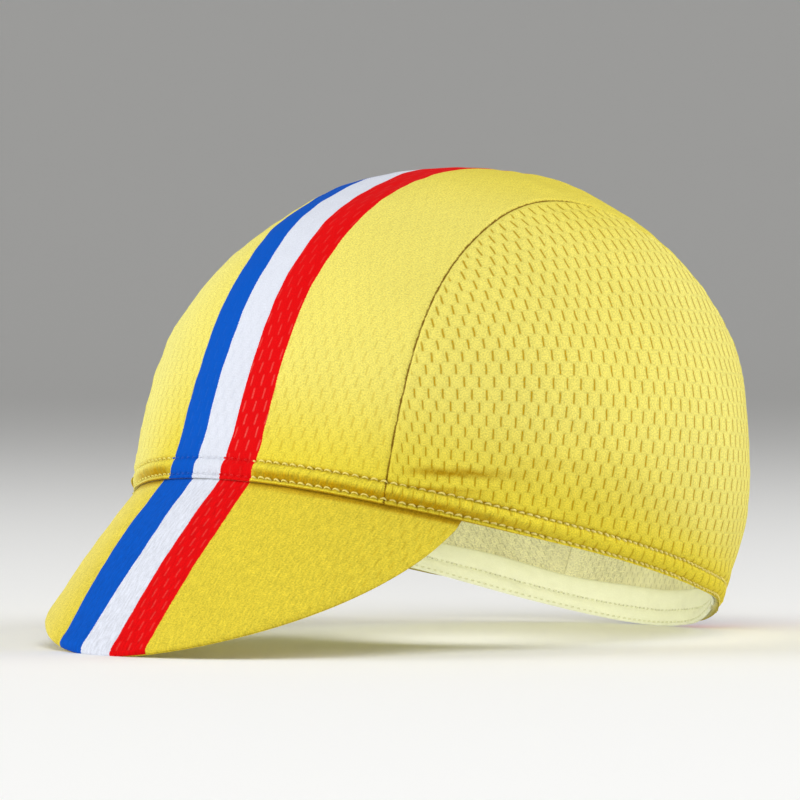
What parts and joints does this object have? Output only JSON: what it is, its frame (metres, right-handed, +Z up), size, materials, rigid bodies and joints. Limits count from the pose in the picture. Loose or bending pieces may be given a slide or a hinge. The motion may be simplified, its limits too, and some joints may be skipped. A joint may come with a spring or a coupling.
{
  "type": "cycling cap",
  "caption": "Cloth cycling cap with a domed three-panel crown, a sewn hem, a sweatband inside the rim and a short turned-down peak, resting on its rim and peak.",
  "frame": {"origin": "on the surface that the cap rests on, under the middle of its overall box", "axes": "+Z up, -Y the way the peak points, +X towards the wearer's left"},
  "size_m": [0.1768, 0.2478, 0.1472],
  "materials": {
    "crown_cloth": "matt yellow mesh-knit polyester",
    "sweatband_cloth": "matt pale smooth knit",
    "peak_cloth": "matt yellow mesh-knit polyester over a stiff core"
  },
  "bodies": {
    "root": {"centre_panel": "crown_cloth", "side_panel_left": "crown_cloth", "side_panel_right": "crown_cloth", "sweatband": "sweatband_cloth", "peak": "peak_cloth"}
  },
  "joints": []
}
